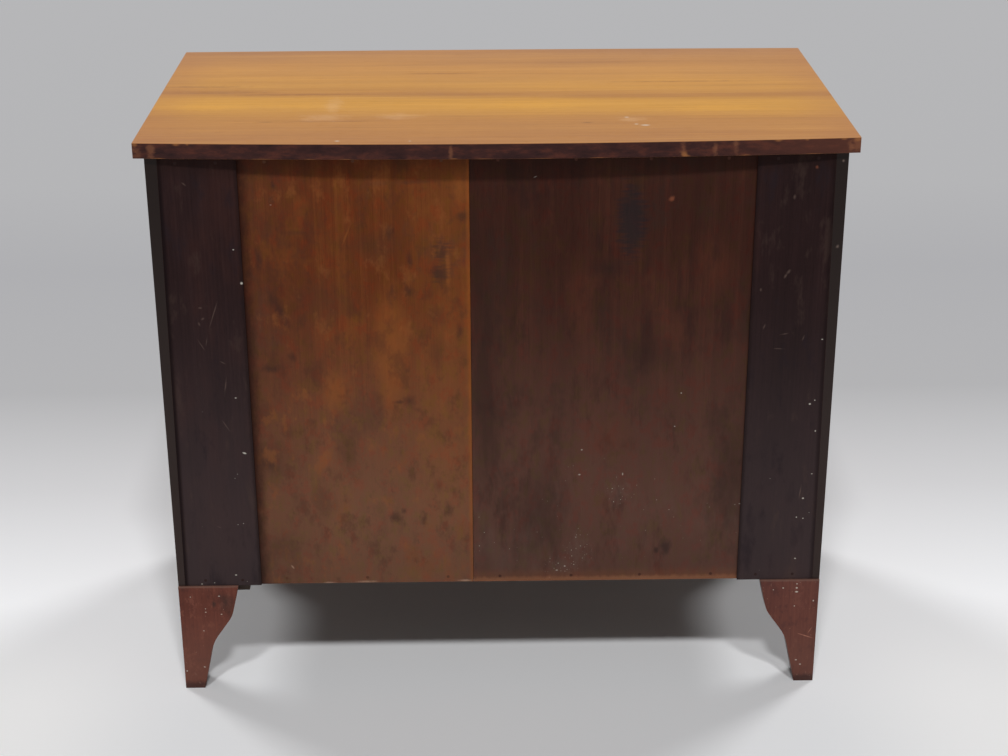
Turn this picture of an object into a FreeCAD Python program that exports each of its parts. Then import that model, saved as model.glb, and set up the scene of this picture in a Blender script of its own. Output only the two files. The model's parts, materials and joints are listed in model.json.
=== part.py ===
import FreeCAD, Part
import os
import re
import Sketcher

# Bow front chest of drawers, in millimetres. It stands on the floor at z = 0 with its drawers
# facing -Y and its back facing +Y. The origin is on the floor, under the middle of the whole piece.

doc = FreeCAD.newDocument("BowFrontChest")

# Driving sizes: name, millimetres, meaning
SIZES = [
    ("case_width", 987, "case, outside"),
    ("case_depth", 506, "case, from the back to the front corner"),
    ("front_bow", 32, "rise of the bow of the front"),
    ("top_thick", 22, "top board"),
    ("top_side_overhang", 14.5, "top past the case side"),
    ("top_rear_overhang", 6, "top past the back, at the corners"),
    ("top_front_overhang", 38, "top past the front, at the corners"),
    ("top_back_bow", 17, "rise of the curve of the top's back edge"),
    ("top_front_bow", 4, "rise of the curve of the top's front edge"),
    ("foot_height", 181, "floor to the underside of the case"),
    ("opening_1", 126, "height of the top drawer's opening"),
    ("opening_2", 140, "height of the second opening"),
    ("opening_3", 155, "height of the third opening"),
    ("opening_4", 170, "height of the lowest opening"),
    ("side_thick", 20, "case side"),
    ("rebate_width", 6, "rebate in the case side that takes the stile"),
    ("dado_depth", 6, "depth of the grooves in the case sides"),
    ("stile_width", 113.5, "upright at each edge of the back"),
    ("stile_thick", 18, "the same upright, front to back"),
    ("stile_lean", 3.5, "outer edge of the stile, out at the foot and in at the top"),
    ("board_thick", 14, "back boards"),
    ("light_board_width", 326, "the lighter of the two back boards"),
    ("board_gap", 0.6, "open joint between the back boards"),
    ("rail_thick", 18, "rails, runners and bottom board"),
    ("rail_depth", 45, "rail, from the case's front corner to its straight back edge"),
    ("rear_rail_depth", 70, "rail under the back of the top"),
    ("runner_width", 30, "drawer runner and kicker, inside the case side"),
    ("stop_length", 50, "drawer stop"),
    ("stop_width", 12, "drawer stop, front to back"),
    ("stop_height", 6, "drawer stop"),
    ("stop_offset", 300, "middle of the chest to the middle of a stop"),
    ("stop_gap", 0.4, "drawer front to its stop"),
    ("reveal", 1.2, "gap beside and above a drawer"),
    ("run_gap", 0.3, "gap between a drawer and what it slides on"),
    ("front_thick", 22, "drawer front"),
    ("bead_width", 3.5, "cock bead round a drawer front"),
    ("bead_rise", 2, "cock bead, out of the front"),
    ("drawer_side_thick", 12, "drawer side"),
    ("drawer_back_thick", 12, "drawer back"),
    ("drawer_bottom_thick", 8, "drawer bottom"),
    ("groove_depth", 5, "grooves in the drawer's sides and front"),
    ("bottom_lift", 10, "drawer bottom above the drawer's lower edge"),
    ("side_drop", 3, "drawer side below the front's upper edge"),
    ("back_drop", 12, "drawer back below the front's upper edge"),
    ("back_inset", 12, "drawer back to the rear ends of its sides"),
    ("drawer_rear_gap", 10, "drawer to the inside of the chest's back"),
    ("tail_pitch", 42, "spacing of the dovetails, to the nearest that fits"),
    ("tail_lap", 8, "drawer front left in front of the dovetails"),
    ("tail_root", 4, "dovetail let into its drawer side"),
    ("foot_thick", 28, "face bracket of a foot"),
    ("foot_proud", 3, "rear foot past the back"),
    ("foot_top_width", 92, "face bracket at the case"),
    ("foot_shoulder_width", 80, "face bracket at its shoulder"),
    ("apron_height", 53, "apron at its ends, and case to the shoulder of a foot"),
    ("foot_waist_width", 48, "face bracket at its waist"),
    ("foot_waist_drop", 46, "shoulder of a foot to its waist"),
    ("foot_toe_width", 30, "face bracket on the floor"),
    ("foot_shoulder_round", 46, "radius of the shoulder"),
    ("foot_waist_round", 80, "radius of the waist"),
    ("bracket_thick", 22, "side bracket of a foot"),
    ("bracket_top_length", 102, "foot at the case, seen from the side"),
    ("bracket_shoulder_length", 92, "the same at the shoulder"),
    ("bracket_waist_length", 60, "the same at the waist"),
    ("bracket_toe_length", 44, "the same on the floor"),
    ("block_height", 22, "glue block behind a foot"),
    ("block_depth", 36, "glue block, front to back"),
    ("block_reach_light", 14, "glue block past the foot beside the light board"),
    ("block_inset", 12, "the other glue blocks short of their feet"),
    ("apron_thick", 20, "apron between the front feet"),
    ("apron_arch", 20, "rise of the apron's lower edge"),
    ("nail_shank", 1.2, "radius of a nail"),
    ("nail_head", 2.4, "radius of a nail's head"),
    ("nail_head_thick", 1.2, "nail's head, flush with the wood"),
    ("nail_length", 34, "nail, with its head"),
    ("pull_offset", 262, "middle of the chest to the middle of a pull"),
    ("plate_width", 98, "oval plate of a pull"),
    ("plate_height", 60, "oval plate of a pull"),
    ("plate_thick", 1.6, "oval plate of a pull"),
    ("post_spacing", 60, "between the two posts of a pull"),
    ("post_reach", 11, "front of the drawer to the bail's axis"),
    ("post_head", 5, "radius of a post's head"),
    ("post_neck", 3, "radius of a post's neck"),
    ("post_foot", 4.6, "radius of a post's foot"),
    ("post_foot_thick", 1.8, "a post's foot on the plate"),
    ("bolt_radius", 2.2, "bolt of a post, through the drawer front"),
    ("bolt_gap", 0.2, "round the bolt in plate, front and nut"),
    ("bolt_spare", 2, "bolt past its nut"),
    ("nut_radius", 6.5, "square nut, to its corners"),
    ("nut_thick", 4, "square nut"),
    ("seat_gap", 0.05, "plate and nut off the curved drawer front"),
    ("bail_radius", 2.5, "bail's wire"),
    ("bail_lead", 0.5, "straight start of the bail beside its post"),
    ("bail_leg", 5.5, "straight part of the bail's leg"),
    ("bail_bend", 4.5, "radius of the bail's upper bends"),
    ("bail_corner", 20, "radius of the bail's lower corners"),
    ("pin_radius", 1.7, "pin at each end of the bail"),
    ("pin_gap", 0.05, "round the pin in its post"),
    ("pin_past", 3, "pin past the middle of its post"),
    ("bail_gap", 0.4, "bail to the head of its post"),
]

# Places worked out from the sizes
LAYOUT = [
    ("case_half", "case_width / 2"),
    ("top_half", "case_half + top_side_overhang"),
    ("top_side_depth", "case_depth + top_rear_overhang + top_front_overhang"),
    ("inner_half", "case_half - side_thick"),
    ("rail_half", "inner_half + dado_depth"),
    ("drawer_half", "inner_half - reveal"),
    ("case_height", "5 * rail_thick + opening_1 + opening_2 + opening_3 + opening_4"),
    ("case_top", "foot_height + case_height"),
    ("floor_1", "case_top - rail_thick - opening_1"),
    ("floor_2", "floor_1 - rail_thick - opening_2"),
    ("floor_3", "floor_2 - rail_thick - opening_3"),
    ("floor_4", "floor_3 - rail_thick - opening_4"),
    ("back_y", "(top_side_depth + top_front_bow - 2 * top_rear_overhang - top_back_bow) / 2"),
    ("back_inside_y", "back_y - stile_thick"),
    ("board_face_y", "back_inside_y + board_thick"),
    ("corner_y", "back_y - case_depth"),
    ("rail_back_y", "corner_y + rail_depth"),
    ("apex_y", "corner_y - front_bow"),
    ("bow_radius", "(case_half ^ 2 + front_bow ^ 2) / (2 * front_bow)"),
    ("bow_y", "apex_y + bow_radius"),
    ("front_inside", "bow_radius - front_thick"),
    ("stile_outer", "inner_half + rebate_width"),
    ("stile_inner", "stile_outer - stile_width"),
    ("joint_x", "stile_inner - light_board_width"),
    ("drawer_rear_y", "back_inside_y - drawer_rear_gap"),
    ("drawer_back_y", "drawer_rear_y - back_inset"),
    ("tail_x", "drawer_half - drawer_side_thick / 2"),
    ("tail_root_y", "bow_y - sqrt(front_inside ^ 2 - tail_x ^ 2) + tail_root"),
    ("tail_tip_y", "bow_y - sqrt((bow_radius - tail_lap) ^ 2 - tail_x ^ 2)"),
    ("stop_end", "stop_offset + stop_length / 2"),
    ("stop_y", "bow_y - sqrt(front_inside ^ 2 - stop_end ^ 2) + stop_gap"),
    ("rear_foot_y", "back_y + foot_proud - foot_thick"),
    ("front_foot_y", "bow_y - sqrt((bow_radius - foot_thick) ^ 2 - case_half ^ 2)"),
    ("bracket_inner", "case_half - bracket_thick"),
    ("foot_inner", "case_half - foot_top_width"),
    ("foot_shoulder_height", "foot_height - apron_height"),
    ("foot_waist_height", "foot_shoulder_height - foot_waist_drop"),
    ("arch_radius", "(foot_inner ^ 2 + apron_arch ^ 2) / (2 * apron_arch)"),
    ("back_arc", "(top_half ^ 2 + top_back_bow ^ 2) / (2 * top_back_bow)"),
    ("front_arc", "(top_half ^ 2 + top_front_bow ^ 2) / (2 * top_front_bow)"),
    ("pull_turn", "asin(pull_offset / bow_radius)"),
    ("pull_y", "bow_y - sqrt(bow_radius ^ 2 - pull_offset ^ 2)"),
    ("nut_sag", "(post_spacing / 2 + nut_radius) ^ 2 / (2 * front_inside)"),
    ("nut_seat", "front_thick + seat_gap + nut_sag"),
    ("bolt_end", "nut_seat + nut_thick + bolt_spare"),
    ("plate_face", "seat_gap + plate_thick"),
    ("bail_start", "post_spacing / 2 + post_head + bail_gap"),
    ("bail_half", "bail_start + bail_lead + bail_bend"),
    ("bail_drop", "bail_bend + bail_leg + bail_corner"),
    ("pin_end", "post_spacing / 2 - pin_past"),
]

# The drawers, from the top down
LEVELS = ("1", "2", "3", "4")
# Share of the dovetails' spacing that is tail, at the root and at the tip
TAIL_ROOT_SHARE = 0.42
TAIL_TIP_SHARE = 0.62
# Nails along the top and bottom of each back board, as shares of its width
LIGHT_NAILS = (0.12, 0.5, 0.88)
DARK_NAILS = (0.1, 0.37, 0.63, 0.9)
STILE_NAILS = (0.25, 0.75)

OWNER = {row[0]: "Sizes." for row in SIZES}
OWNER.update({row[0]: "Layout." for row in LAYOUT})
PIECES = []


def bound(text):
    """The expression with the name of its sheet put before each size."""
    return re.sub(r"[a-z]\w*", lambda name: OWNER.get(name[0], "") + name[0], text)


def make_sheets():
    sizes = doc.addObject("Spreadsheet::Sheet", "Sizes")
    for row, (alias, value, meaning) in enumerate(SIZES, 1):
        sizes.set(f"A{row}", alias)
        sizes.set(f"B{row}", str(value))
        sizes.set(f"C{row}", meaning)
        sizes.setAlias(f"B{row}", alias)
    layout = doc.addObject("Spreadsheet::Sheet", "Layout")
    for row, (alias, formula) in enumerate(LAYOUT, 1):
        layout.set(f"A{row}", alias)
        layout.setAlias(f"B{row}", alias)
    for row, (alias, formula) in enumerate(LAYOUT, 1):
        own = re.sub(r"Layout\.", "", bound(formula))
        layout.set(f"B{row}", "=" + own)
    doc.recompute()


def value(text):
    """The number that an expression gives now."""
    found = doc.Layout.evalExpression(bound(text))
    return float(getattr(found, "Value", found))


def bind(thing, **sizes):
    for name, text in sizes.items():
        thing.setExpression(name, bound(text))


def put(thing, x="0", y="0", z="0", turn=None):
    """Places a thing, turned about the vertical if turn is given."""
    if turn is not None:
        thing.Placement.Rotation = FreeCAD.Rotation(FreeCAD.Vector(0, 0, 1), 1)
        thing.setExpression("Placement.Rotation.Angle", bound(turn))
    for axis, text in (("x", x), ("y", y), ("z", z)):
        thing.setExpression(f"Placement.Base.{axis}", bound(text))
    return thing


def box(name, x, y, z):
    """A block between two places along each axis."""
    block = doc.addObject("Part::Box", name)
    sizes = zip(("Length", "Width", "Height"), (x, y, z))
    bind(block, **{size: f"({high}) - ({low})" for size, (low, high) in sizes})
    return put(block, x[0], y[0], z[0])


def cylinder(name, radius, height, x="0", y="0", z="0", along="Z"):
    """A round bar that starts at a place and runs along an axis."""
    bar = doc.addObject("Part::Cylinder", name)
    bind(bar, Radius=radius, Height=height)
    lean = {"Z": FreeCAD.Vector(0, 0, 1), "Y": FreeCAD.Vector(0, 1, 0), "X": FreeCAD.Vector(1, 0, 0)}
    bar.Placement.Rotation = FreeCAD.Rotation(FreeCAD.Vector(0, 0, 1), lean[along])
    return put(bar, x, y, z)


def joined(name, kind, base, tool):
    made = doc.addObject(f"Part::{kind}", name)
    made.Base = base
    made.Tool = tool
    made.Refine = True
    return made


def cut(name, base, tool):
    return joined(name, "Cut", base, tool)


def common(name, base, tool):
    return joined(name, "Common", base, tool)


def fused(name, things):
    made = doc.addObject("Part::MultiFuse", name)
    made.Shapes = things
    made.Refine = True
    return made


def together(name, things):
    """Several separate solids in one object."""
    made = doc.addObject("Part::Compound", name)
    made.Links = things
    return made


def mirrored(name, thing):
    """The same thing on the other side of the chest."""
    made = doc.addObject("Part::Mirroring", name)
    made.Source = thing
    made.Normal = FreeCAD.Vector(1, 0, 0)
    return made


def piece(thing, node):
    """Marks a thing as one of the chest's pieces and gives it the piece's name."""
    thing.Label = node
    PIECES.append(thing)
    return thing


def new_sketch(body, name, plane):
    sketch = body.newObject("Sketcher::SketchObject", name)
    flat = [feature for feature in body.Origin.OriginFeatures if feature.Role == plane]
    sketch.AttachmentSupport = [(flat[0], "")]
    sketch.MapMode = "FlatFace"
    return sketch


def tie(sketch, kind, *parts, size=None):
    """Adds a constraint, bound to an expression where it has a size."""
    if size is None:
        sketch.addConstraint(Sketcher.Constraint(kind, *parts))
        return
    number = sketch.addConstraint(Sketcher.Constraint(kind, *parts, value(size)))
    sketch.setExpression(f"Constraints[{number}]", bound(size))


def outline(sketch, corners):
    """A closed outline of straight lines through corners given as pairs of expressions."""
    places = [FreeCAD.Vector(value(u), value(v), 0) for u, v in corners]
    for start, end in zip(places, places[1:] + places[:1]):
        sketch.addGeometry(Part.LineSegment(start, end))
    for number, (u, v) in enumerate(corners):
        tie(sketch, "Coincident", number - 1 if number else len(corners) - 1, 2, number, 1)
        for kind, zero_line, size in (("DistanceX", -2, u), ("DistanceY", -1, v)):
            if size == "0":
                tie(sketch, "PointOnObject", number, 1, zero_line)
            else:
                tie(sketch, kind, -1, 1, number, 1, size=size)


def padded(name, plane, corners, thick):
    """A board with the given outline."""
    body = doc.addObject("PartDesign::Body", name)
    sketch = new_sketch(body, name + "_outline", plane)
    outline(sketch, corners)
    pad = body.newObject("PartDesign::Pad", name + "_pad")
    pad.Profile = sketch
    bind(pad, Length=thick)
    doc.recompute()
    return body


def turned(name, corners):
    """A piece turned about the Y axis from half its outline."""
    body = doc.addObject("PartDesign::Body", name)
    sketch = new_sketch(body, name + "_outline", "XY_Plane")
    outline(sketch, corners)
    lathe = body.newObject("PartDesign::Revolution", name + "_lathe")
    lathe.Profile = sketch
    lathe.ReferenceAxis = (sketch, ["V_Axis"])
    lathe.Angle = 360
    doc.recompute()
    return body


def round_corner(body, sketch, corner, radius):
    """Rounds the edge through a board's thickness at one corner of its outline."""
    u, v = (value(size) for size in corner)
    to_outline = sketch.Placement.inverse()
    base = body.Tip
    found = []
    for number, edge in enumerate(base.Shape.Edges, 1):
        ends = [to_outline.multVec(vertex.Point) for vertex in edge.Vertexes]
        if all(abs(end.x - u) < 0.01 and abs(end.y - v) < 0.01 for end in ends):
            found.append(f"Edge{number}")
    fillet = body.newObject("PartDesign::Fillet", body.Name + "_round")
    fillet.Base = (base, found)
    bind(fillet, Radius=radius)
    doc.recompute()


def copied(name, thing, x="0", y="0", z="0", turn=None):
    """The same thing again in another place."""
    return put(together(name, [thing]), x, y, z, turn)


def make_bows():
    """Upright round blocks that shape everything along the front."""
    radii = {
        "bow_face": "bow_radius",
        "bow_bead": "bow_radius + bead_rise",
        "bow_inside": "front_inside",
        "bow_groove": "front_inside + groove_depth",
        "bow_apron": "bow_radius - apron_thick",
        "bow_foot": "bow_radius - foot_thick",
    }
    return {name: cylinder(name, radius, "case_top", y="bow_y") for name, radius in radii.items()}


def make_top():
    body = doc.addObject("PartDesign::Body", "top")
    sketch = new_sketch(body, "top_outline", "XY_Plane")
    half = value("top_half")
    back = value("back_y + top_rear_overhang")
    front = value("back_y + top_rear_overhang - top_side_depth")
    ends = ((half, front), (half, back), (-half, back), (-half, front))
    corners = [FreeCAD.Vector(x, y, 0) for x, y in ends]
    back_middle = FreeCAD.Vector(0, back + value("top_back_bow"), 0)
    front_middle = FreeCAD.Vector(0, front - value("top_front_bow"), 0)
    sketch.addGeometry(Part.LineSegment(corners[0], corners[1]))
    sketch.addGeometry(Part.Arc(corners[1], back_middle, corners[2]))
    sketch.addGeometry(Part.LineSegment(corners[2], corners[3]))
    sketch.addGeometry(Part.Arc(corners[3], front_middle, corners[0]))
    for number in range(4):
        tie(sketch, "Coincident", number, 2, (number + 1) % 4, 1)
    tie(sketch, "DistanceX", -1, 1, 0, 2, size="top_half")
    tie(sketch, "DistanceY", -1, 1, 0, 2, size="back_y + top_rear_overhang")
    tie(sketch, "DistanceY", 0, 1, 0, 2, size="top_side_depth")
    tie(sketch, "Vertical", 0)
    tie(sketch, "Symmetric", 2, 1, 0, 2, -2)
    tie(sketch, "Symmetric", 2, 2, 0, 1, -2)
    tie(sketch, "Radius", 1, size="back_arc")
    tie(sketch, "Radius", 3, size="front_arc")
    pad = body.newObject("PartDesign::Pad", "top_pad")
    pad.Profile = sketch
    bind(pad, Length="top_thick")
    piece(put(body, z="case_top"), "top_panel")


def rail_levels():
    """Lower and upper face of every rail, from the top down."""
    levels = [("case_top - rail_thick", "case_top")]
    levels += [(f"floor_{level} - rail_thick", f"floor_{level}") for level in LEVELS]
    return levels


def make_stile():
    """An upright of the back, with an outer edge that leans."""
    stile = padded("stile", "XZ_Plane", [
        ("stile_inner", "foot_height"),
        ("stile_outer + stile_lean", "foot_height"),
        ("stile_outer - stile_lean", "case_top"),
        ("stile_inner", "case_top"),
    ], "stile_thick")
    return put(stile, y="back_y")


def make_sides(bows, stile):
    tall = ("foot_height", "case_top")
    blank = common("side_bowed", box("side_blank", ("inner_half", "case_half"), ("apex_y", "back_y"), tall),
                   bows["bow_face"])
    slots = [stile]
    for number, level in enumerate(rail_levels(), 1):
        dado = box(f"side_dado_{number}", ("inner_half", "rail_half"), ("apex_y", "back_inside_y"), level)
        slots.append(dado)
    side = piece(cut("side_left", blank, fused("side_slots", slots)), "side_left")
    piece(mirrored("side_right", side), "side_right")


def make_rails(bows):
    wide = ("-rail_half", "rail_half")
    names = ["top_front_rail", "drawer_rail_1", "drawer_rail_2", "drawer_rail_3", "base_rail"]
    for node, level in zip(names, rail_levels()):
        blank = box(node + "_blank", wide, ("apex_y", "rail_back_y"), level)
        piece(common(node, blank, bows["bow_face"]), node)
    strips = []
    for number, level in enumerate(rail_levels()[1:4], 1):
        strips.append(box(f"runner_{number}", ("inner_half - runner_width", "rail_half"),
                          ("rail_back_y", "back_inside_y"), level))
    runners = together("runners_left", strips)
    piece(together("runners", [runners, mirrored("runners_right", runners)]), "drawer_runners")
    kicker = box("kicker_left", ("inner_half - runner_width", "rail_half"),
                 ("rail_back_y", "back_inside_y - rear_rail_depth"), rail_levels()[0])
    piece(together("kickers", [kicker, mirrored("kicker_right", kicker)]), "top_kickers")
    stops = []
    for level in LEVELS:
        seat = f"floor_{level}"
        stops.append(box(f"stop_{level}", ("stop_end - stop_length", "stop_end"),
                         ("stop_y", "stop_y + stop_width"), (seat, f"{seat} + stop_height")))
    left = together("stops_left", stops)
    piece(together("stops", [left, mirrored("stops_right", left)]), "drawer_stops")


def make_nails():
    """Nails through the back into the rear rail and the bottom board."""
    nail = turned("nail", [
        ("0", "0"),
        ("nail_shank", "3 * nail_shank"),
        ("nail_shank", "nail_length - nail_head_thick"),
        ("nail_head", "nail_length - nail_head_thick"),
        ("nail_head", "nail_length"),
        ("0", "nail_length"),
    ])
    light = [(f"joint_x + {share} * light_board_width", "board_face_y") for share in LIGHT_NAILS]
    dark = [(f"joint_x - {share} * (joint_x + stile_inner)", "board_face_y") for share in DARK_NAILS]
    stiles = [(f"stile_inner + {share} * stile_width", "back_y") for share in STILE_NAILS]
    stiles += [(f"-stile_inner - {share} * stile_width", "back_y") for share in STILE_NAILS]
    nails = []
    for number, (x, face) in enumerate(light + dark + stiles, 1):
        for row, z in (("top", "case_top - rail_thick / 2"), ("bottom", "foot_height + rail_thick / 2")):
            nails.append(copied(f"nail_{row}_{number}", nail, x, f"{face} - nail_length", z))
    return piece(together("nails", nails), "back_nails")


def make_back(stile, nails):
    left = piece(cut("stile_nailed", stile, nails), "rear_stile_left")
    piece(mirrored("stile_far", left), "rear_stile_right")
    boards = {
        "back_board_light": ("joint_x + board_gap / 2", "stile_inner"),
        "back_board_dark": ("-stile_inner", "joint_x - board_gap / 2"),
    }
    for node, wide in boards.items():
        blank = box(node + "_blank", wide, ("back_inside_y", "board_face_y"), ("foot_height", "case_top"))
        piece(cut(node, blank, nails), node)
    wide = ("-rail_half", "rail_half")
    rear = box("rear_rail_blank", wide, ("back_inside_y - rear_rail_depth", "back_inside_y"),
               rail_levels()[0])
    piece(cut("top_rear_rail", rear, nails), "top_rear_rail")
    bottom = box("bottom_blank", wide, ("rail_back_y", "back_inside_y"), rail_levels()[4])
    piece(cut("bottom_board", bottom, nails), "bottom_board")


FOOT_OUTLINE = [
    ("case_half", "foot_height"),
    ("case_half", "0"),
    ("case_half - foot_toe_width", "0"),
    ("case_half - foot_waist_width", "foot_waist_height"),
    ("case_half - foot_shoulder_width", "foot_shoulder_height"),
    ("foot_inner", "foot_height"),
]


def foot_board(name, plane, corners, thick):
    """A bracket with a rounded shoulder and waist, the last but one and last but two corners."""
    board = padded(name, plane, corners, thick)
    sketch = doc.getObject(name + "_outline")
    round_corner(board, sketch, corners[-2], "foot_shoulder_round")
    round_corner(board, sketch, corners[-3], "foot_waist_round")
    return board


def bracket_outline(start, far):
    """A side bracket from the back of the face bracket along the side; far gives a length's place."""
    return [
        (start, "foot_height"),
        (start, "0"),
        (far("bracket_toe_length"), "0"),
        (far("bracket_waist_length"), "foot_waist_height"),
        (far("bracket_shoulder_length"), "foot_shoulder_height"),
        (far("bracket_top_length"), "foot_height"),
    ]


def make_feet(bows):
    rear_face = foot_board("rear_foot_face", "XZ_Plane", FOOT_OUTLINE, "foot_thick")
    put(rear_face, y="back_y + foot_proud")
    rear_lines = bracket_outline("rear_foot_y", lambda length: f"back_y + foot_proud - {length}")
    rear_side = foot_board("rear_foot_side", "YZ_Plane", rear_lines, "bracket_thick")
    put(rear_side, x="bracket_inner")
    rear = piece(together("rear_foot", [rear_face, rear_side]), "foot_rear_left")
    piece(mirrored("rear_foot_right", rear), "foot_rear_right")

    blank = foot_board("front_foot_face", "XZ_Plane", FOOT_OUTLINE, "front_foot_y - apex_y")
    put(blank, y="front_foot_y")
    face = cut("front_foot_hollow", common("front_foot_bowed", blank, bows["bow_face"]), bows["bow_foot"])
    front_lines = bracket_outline("foot_thick / 2", lambda length: length)
    side_blank = put(foot_board("front_foot_side", "YZ_Plane", front_lines, "bracket_thick"),
                     x="bracket_inner", y="corner_y")
    side = common("front_foot_side_fitted", side_blank, bows["bow_foot"])
    front = piece(together("front_foot", [face, side]), "foot_front_left")
    piece(mirrored("front_foot_right", front), "foot_front_right")

    ends = ("-foot_inner - foot_top_width / 2", "foot_inner + foot_top_width / 2")
    plank = box("apron_blank", ends, ("apex_y", "front_foot_y"), ("foot_shoulder_height", "foot_height"))
    arch = cylinder("apron_arch_block", "arch_radius", "front_foot_y - apex_y", y="apex_y",
                    z="foot_shoulder_height + apron_arch - arch_radius", along="Y")
    bowed = common("apron_bowed", cut("apron_arched", plank, arch), bows["bow_face"])
    feet = together("front_feet", [face, mirrored("front_foot_far", face)])
    piece(cut("apron_fitted", cut("apron_hollow", bowed, bows["bow_apron"]), feet), "front_apron")

    under = ("foot_height - block_height", "foot_height")
    behind = ("rear_foot_y - block_depth", "rear_foot_y")
    blocks = [
        box("block_light", ("foot_inner - block_reach_light", "bracket_inner"), behind, under),
        box("block_dark", ("-bracket_inner", "-foot_inner - block_inset"), behind, under),
    ]
    front_blank = box("block_front_blank", ("foot_inner + block_inset", "bracket_inner"),
                      ("corner_y", "front_foot_y + block_depth"), under)
    front_block = common("block_front", front_blank, bows["bow_foot"])
    blocks += [front_block, mirrored("block_front_right", front_block)]
    piece(together("blocks", blocks), "glue_blocks")


def make_bail():
    """The swinging handle, hanging from an axis along X through its pins."""
    start, half, drop = value("bail_start"), value("bail_half"), value("bail_drop")
    bend, corner = value("bail_bend"), value("bail_corner")
    body = doc.addObject("PartDesign::Body", "bail")
    path = new_sketch(body, "bail_path", "XZ_Plane")
    stops = [
        (-start, 0), (bend - half, 0), (-half, -bend), (-half, corner - drop), (corner - half, -drop),
        (half - corner, -drop), (half, corner - drop), (half, -bend), (half - bend, 0), (start, 0),
    ]
    stops = [FreeCAD.Vector(u, v, 0) for u, v in stops]
    up = FreeCAD.Vector(0, 0, 1)
    bends = {
        1: (FreeCAD.Vector(bend - half, -bend, 0), bend, 90),
        3: (FreeCAD.Vector(corner - half, corner - drop, 0), corner, 180),
        5: (FreeCAD.Vector(half - corner, corner - drop, 0), corner, 270),
        7: (FreeCAD.Vector(half - bend, -bend, 0), bend, 0),
    }
    quarter = FreeCAD.Units.Quantity("90 deg").getValueAs("rad").Value
    for number in range(9):
        if number in bends:
            middle, radius, degrees = bends[number]
            begin = degrees / 90 * quarter
            path.addGeometry(Part.ArcOfCircle(Part.Circle(middle, up, radius), begin, begin + quarter))
        else:
            path.addGeometry(Part.LineSegment(stops[number], stops[number + 1]))
    for number in range(8):
        tie(path, "Tangent", number, 2, number + 1, 1)
    for number in (0, 4, 8):
        tie(path, "Horizontal", number)
    for number in (2, 6):
        tie(path, "Vertical", number)
    for number, size in ((1, "bail_bend"), (3, "bail_corner"), (5, "bail_corner"), (7, "bail_bend")):
        tie(path, "Radius", number, size=size)
    tie(path, "PointOnObject", 0, 1, -1)
    tie(path, "Symmetric", 0, 1, 8, 2, -2)
    tie(path, "DistanceX", -1, 1, 8, 2, size="bail_start")
    tie(path, "DistanceX", -1, 1, 6, 1, size="bail_half")
    tie(path, "DistanceX", 2, 1, -1, 1, size="bail_half")
    tie(path, "DistanceY", 4, 1, -1, 1, size="bail_drop")
    wire = new_sketch(body, "bail_wire", "YZ_Plane")
    wire.setExpression("AttachmentOffset.Base.z", bound("-bail_start"))
    wire.addGeometry(Part.Circle(FreeCAD.Vector(0, 0, 0), up, value("bail_radius")))
    tie(wire, "Coincident", 0, 3, -1, 1)
    tie(wire, "Radius", 0, size="bail_radius")
    doc.recompute()
    pipe = body.newObject("PartDesign::AdditivePipe", "bail_pipe")
    pipe.Profile = wire
    pipe.Spine = (path, [f"Edge{number}" for number in range(1, 10)])
    pin = cylinder("bail_pin", "pin_radius", "bail_start + bail_radius - pin_end", x="pin_end", along="X")
    return put(fused("bail_with_pins", [body, pin, mirrored("bail_pin_far", pin)]), y="-post_reach")


def make_pull():
    """Plate, posts with nuts, bail and bolt holes of one pull, on a drawer front at y = 0 facing -Y."""
    head = "bolt_end + post_reach"
    foot = "bolt_end + plate_face"
    post_body = turned("post_turned", [
        ("0", "0"),
        ("bolt_radius", "0"),
        ("bolt_radius", foot),
        ("post_foot", foot),
        ("post_foot", f"{foot} + post_foot_thick"),
        ("post_neck", f"{foot} + post_foot_thick"),
        ("post_neck", f"{head} - 0.8 * post_head"),
        ("post_head", f"{head} - 0.45 * post_head"),
        ("post_head", f"{head} + 0.45 * post_head"),
        ("0.65 * post_head", f"{head} + 0.9 * post_head"),
        ("0", f"{head} + post_head"),
    ])
    eye = cylinder("post_eye", "pin_radius + pin_gap", "4 * post_head", "-2 * post_head", head, along="X")
    post = cut("post", post_body, eye)
    nut_blank = doc.addObject("Part::Prism", "nut_blank")
    nut_blank.Polygon = 4
    bind(nut_blank, Circumradius="nut_radius", Height="nut_thick")
    bore = cylinder("nut_bore", "bolt_radius + bolt_gap", "nut_thick")
    nut = cut("nut", nut_blank, bore)
    posts = []
    drills = []
    hole = "bolt_radius + bolt_gap"
    for side, x in (("left", "post_spacing / 2"), ("right", "-post_spacing / 2")):
        posts.append(copied("post_" + side, post, x, "bolt_end", turn="180"))
        placed = together("nut_" + side, [nut])
        placed.Placement.Rotation = FreeCAD.Rotation(FreeCAD.Vector(0, 0, 1), FreeCAD.Vector(0, 1, 0))
        posts.append(put(placed, x, "nut_seat"))
        drills.append(cylinder("drill_" + side, hole, "2 * bolt_end", x, "-bolt_end", along="Y"))
    rim = doc.addObject("Part::Ellipse", "plate_rim")
    bind(rim, MajorRadius="plate_width / 2", MinorRadius="plate_height / 2")
    oval = doc.addObject("Part::Extrusion", "plate_oval")
    oval.Base = rim
    oval.DirMode = "Custom"
    oval.Dir = FreeCAD.Vector(0, 0, 1)
    oval.Solid = True
    bind(oval, LengthFwd="plate_thick")
    oval.Placement.Rotation = FreeCAD.Rotation(FreeCAD.Vector(1, 0, 0), 90)
    put(oval, y="-seat_gap")
    drilled = together("pull_drills", drills)
    return {
        "plates": cut("pull_plate", oval, drilled),
        "posts": together("pull_posts", posts),
        "bail": make_bail(),
        "drills": drilled,
    }


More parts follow.
